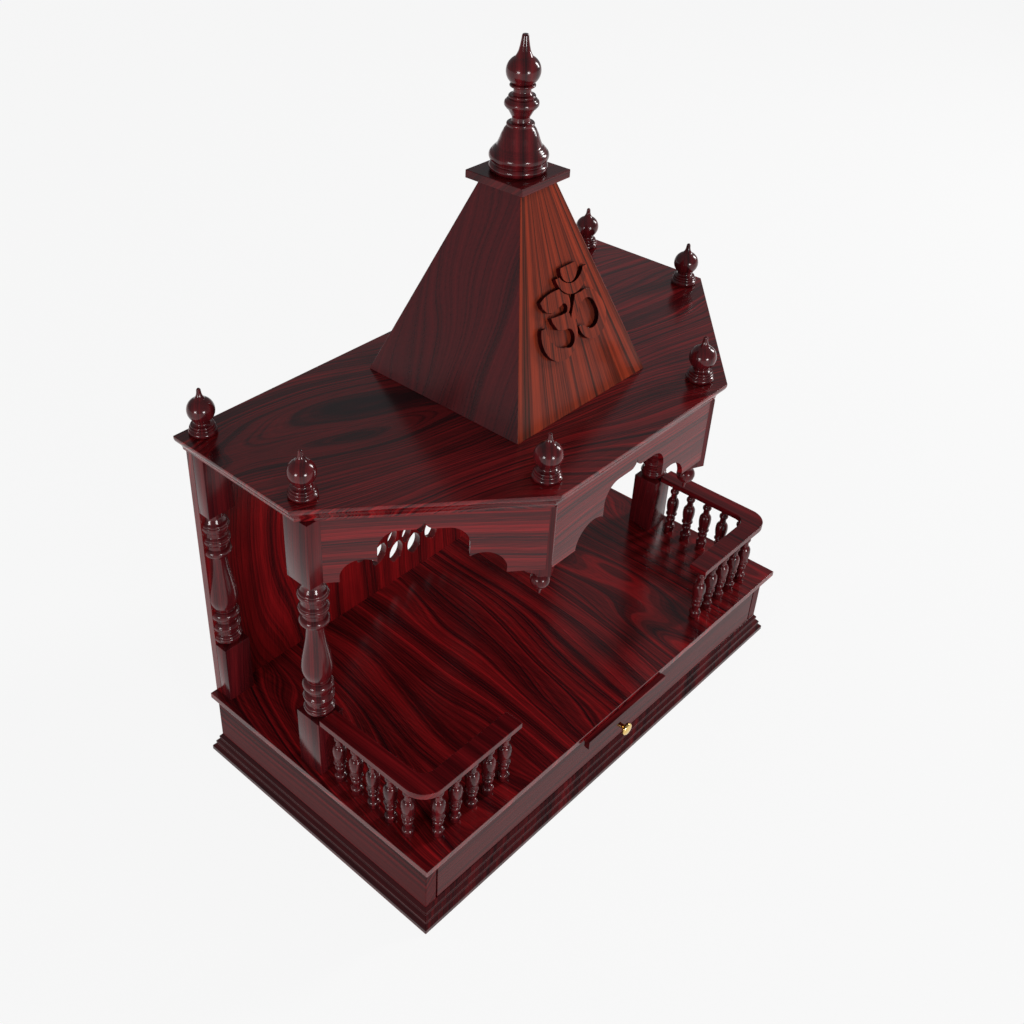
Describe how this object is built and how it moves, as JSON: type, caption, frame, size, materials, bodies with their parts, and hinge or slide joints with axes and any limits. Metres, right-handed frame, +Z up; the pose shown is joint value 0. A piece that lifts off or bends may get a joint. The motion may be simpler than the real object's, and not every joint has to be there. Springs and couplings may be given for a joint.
{
  "type": "wooden home temple",
  "caption": "Tabletop wooden home temple: a plinth with a drawer and a pull-out tray, a railed platform with turned posts, an arched canopy roof and a pyramid spire with a finial.",
  "frame": {"origin": "on the floor, under the middle of the whole piece", "axes": "+Z up, +X along the front from left to right, +Y from the front to the back"},
  "size_m": [0.6154, 0.3452, 0.7547],
  "materials": {
    "veneer": "polished dark red veneer",
    "orange_veneer": "polished orange-red veneer",
    "turned": "polished dark red turned wood",
    "inside_wood": "plain inner board",
    "brass": "polished brass"
  },
  "bodies": {
    "temple": {"base_moulding_front": "veneer", "base_moulding_back": "veneer", "base_moulding_left": "veneer", "base_moulding_right": "veneer", "plinth_side_left": "veneer", "plinth_side_right": "veneer", "plinth_back": "veneer", "plinth_bottom": "inside_wood", "dust_panel": "inside_wood", "tray_guide_left": "inside_wood", "tray_guide_right": "inside_wood", "platform_board": "veneer", "back_wall": "veneer", "post_front_left": "turned", "post_front_right": "turned", "post_back_left": "turned", "post_back_right": "turned", "handrail_left": "veneer", "handrail_right": "veneer", "balusters_left": "turned", "balusters_right": "turned", "roof_board": "veneer", "fascia_front": "veneer", "fascia_left": "veneer", "fascia_right": "veneer", "pendant_left": "veneer", "pendant_right": "veneer", "roof_finials_front": "turned", "roof_finials_middle": "turned", "roof_finials_back": "turned", "spire_front": "orange_veneer", "spire_back": "veneer", "spire_left": "veneer", "spire_right": "veneer", "om_symbol": "orange_veneer", "spire_cap": "turned", "spire_finial": "turned"},
    "drawer": {"drawer_front": "veneer", "drawer_side_left": "inside_wood", "drawer_side_right": "inside_wood", "drawer_back": "inside_wood", "drawer_bottom": "inside_wood", "drawer_knob": "brass"},
    "tray": {"pull_out_tray": "veneer"}
  },
  "joints": [
    {"name": "drawer_slide", "type": "slide", "parent": "temple", "child": "drawer", "axis": [0, -1, 0], "range_m": [0, 0.22]},
    {"name": "tray_slide", "type": "slide", "parent": "temple", "child": "tray", "axis": [0, -1, 0], "range_m": [0, 0.15]}
  ]
}
